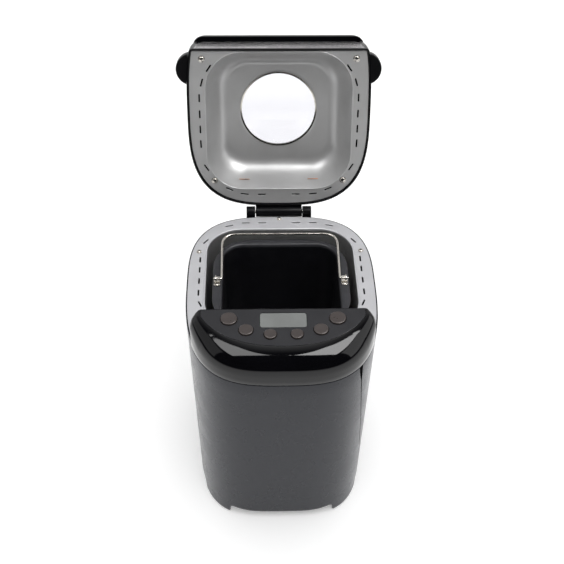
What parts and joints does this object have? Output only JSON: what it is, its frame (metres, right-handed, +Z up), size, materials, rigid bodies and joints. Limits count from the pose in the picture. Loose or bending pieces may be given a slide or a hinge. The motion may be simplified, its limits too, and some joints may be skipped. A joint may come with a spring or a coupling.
{
  "type": "bread machine",
  "caption": "Tall oval bread machine with an open hinged lid and round window, crescent control panel, and a lift-out pan with wire bail and paddle.",
  "frame": {"origin": "on the table, under the middle of the open machine's overall width and depth", "axes": "+Z up, +X to the right of a person facing the controls, +Y towards the back, where the lid hinges"},
  "size_m": [0.252, 0.3943, 0.4873],
  "materials": {
    "body_paint": "satin dark grey",
    "gloss_black": "polished",
    "satin_black": "satin",
    "silver_sheet": "satin",
    "chamber_sheet": "satin",
    "bright_steel": "bright",
    "non_stick": "non-stick coating",
    "button": "satin",
    "display": "clear over grey",
    "window": "clear",
    "rubber": "matte",
    "circuit_board": "lacquered"
  },
  "bodies": {
    "base": {"outer_shell": "body_paint", "base_plate": "satin_black", "power_inlet": "satin_black", "foot_front_left": "rubber", "foot_front_right": "rubber", "foot_rear_left": "rubber", "foot_rear_right": "rubber", "rim_plate": "silver_sheet", "rim_screw_1": "bright_steel", "rim_screw_2": "bright_steel", "rim_screw_3": "bright_steel", "chamber": "chamber_sheet", "heater": "bright_steel", "temperature_probe": "bright_steel", "pan_socket": "chamber_sheet", "bearing_housing": "chamber_sheet", "chassis": "chamber_sheet", "motor": "bright_steel", "belt": "rubber", "power_board": "circuit_board", "control_cap": "gloss_black", "control_panel": "satin_black", "display_lens": "display", "control_board": "circuit_board", "hinge_knuckle_left": "satin_black", "hinge_knuckle_right": "satin_black", "hinge_pin": "bright_steel"},
    "lid": {"lid_dome": "gloss_black", "lid_liner": "silver_sheet", "lid_strip": "silver_sheet", "lid_screw_1": "bright_steel", "lid_screw_2": "bright_steel", "lid_screw_3": "bright_steel", "lid_screw_4": "bright_steel", "window_inner_pane": "window", "window_gasket": "rubber", "window_outer_pane": "window", "side_grip_left": "gloss_black", "side_grip_right": "gloss_black"},
    "pan_assembly": {"pan": "non_stick", "pan_foot": "non_stick", "pan_bracket_left": "bright_steel", "pan_bracket_right": "bright_steel"},
    "bail": {"bail": "bright_steel"},
    "spindle": {"pan_spindle": "bright_steel"},
    "paddle": {"paddle": "non_stick"},
    "drive": {"drive_shaft": "satin_black"},
    "motor_rotor": {"motor_shaft": "bright_steel"},
    "button_left_outer": {"button_left_outer": "button"},
    "button_right_outer": {"button_right_outer": "button"},
    "button_left_middle": {"button_left_middle": "button"},
    "button_right_middle": {"button_right_middle": "button"},
    "button_left_inner": {"button_left_inner": "button"},
    "button_right_inner": {"button_right_inner": "button"}
  },
  "joints": [
    {"name": "lid_hinge", "type": "hinge", "parent": "base", "child": "lid", "pos_m": [0, 0.09116, 0.284], "axis": [-1, 0, 0], "range_deg": [-105.5, 0]},
    {"name": "pan_lift", "type": "slide", "parent": "base", "child": "pan_assembly", "axis": [0, 0, 1], "range_m": [0, 0.18]},
    {"name": "bail_swing", "type": "hinge", "parent": "pan_assembly", "child": "bail", "pos_m": [0, -0.03164, 0.2796], "axis": [1, 0, 0], "range_deg": [0, 165]},
    {"name": "paddle_lift", "type": "slide", "parent": "spindle", "child": "paddle", "axis": [0, 0, 1], "range_m": [0, 0.024]},
    {"name": "drive_spin", "type": "hinge", "parent": "base", "child": "drive", "pos_m": [0, -0.03164, 0.093], "axis": [0, 0, 1], "continuous": true},
    {"name": "spindle_spin", "type": "hinge", "parent": "pan_assembly", "child": "spindle", "pos_m": [0, -0.03164, 0.133], "axis": [0, 0, 1], "continuous": true},
    {"name": "motor_spin", "type": "hinge", "parent": "base", "child": "motor_rotor", "pos_m": [0, -0.15204, 0.093], "axis": [0, 0, 1], "continuous": true},
    {"name": "button_left_outer_press", "type": "slide", "parent": "base", "child": "button_left_outer", "axis": [0, 0.1478, -0.989], "range_m": [0, 0.0012], "stiffness_N_per_m": 400, "springref_m": -0.0008},
    {"name": "button_right_outer_press", "type": "slide", "parent": "base", "child": "button_right_outer", "axis": [0, 0.1478, -0.989], "range_m": [0, 0.0012], "stiffness_N_per_m": 400, "springref_m": -0.0008},
    {"name": "button_left_middle_press", "type": "slide", "parent": "base", "child": "button_left_middle", "axis": [0, 0.1478, -0.989], "range_m": [0, 0.0012], "stiffness_N_per_m": 400, "springref_m": -0.0008},
    {"name": "button_right_middle_press", "type": "slide", "parent": "base", "child": "button_right_middle", "axis": [0, 0.1478, -0.989], "range_m": [0, 0.0012], "stiffness_N_per_m": 400, "springref_m": -0.0008},
    {"name": "button_left_inner_press", "type": "slide", "parent": "base", "child": "button_left_inner", "axis": [0, 0.1478, -0.989], "range_m": [0, 0.0012], "stiffness_N_per_m": 400, "springref_m": -0.0008},
    {"name": "button_right_inner_press", "type": "slide", "parent": "base", "child": "button_right_inner", "axis": [0, 0.1478, -0.989], "range_m": [0, 0.0012], "stiffness_N_per_m": 400, "springref_m": -0.0008}
  ],
  "couplings": [
    {"joint": "spindle_spin", "follows": "drive_spin", "ratio": 1},
    {"joint": "motor_spin", "follows": "drive_spin", "ratio": 4.2}
  ]
}
